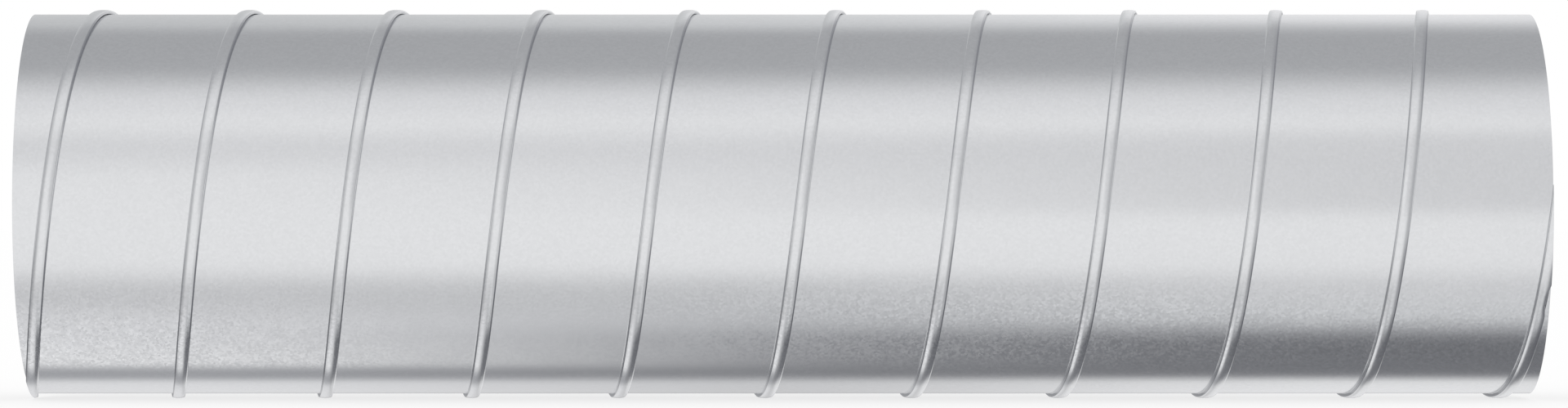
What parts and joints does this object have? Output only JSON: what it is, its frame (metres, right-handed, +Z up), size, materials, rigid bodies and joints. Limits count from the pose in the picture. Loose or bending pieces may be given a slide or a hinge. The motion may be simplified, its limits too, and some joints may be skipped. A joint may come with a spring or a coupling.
{
  "type": "round spiral ventilation duct",
  "caption": "Straight round ventilation duct wound from galvanised steel strip, with a raised helical lock seam and square-cut open ends.",
  "frame": {"origin": "on the floor under the middle of the duct, which lies on the crests of its seam", "axes": "+X along the duct's axis towards the right-hand end of the picture, +Y away from the camera, +Z up"},
  "size_m": [1.25, 0.3248, 0.3247],
  "materials": {
    "galvanised_sheet": "hot-dip galvanised sheet with a fine spangle, satin"
  },
  "bodies": {
    "root": {"spiral_duct": "galvanised_sheet"}
  },
  "joints": []
}
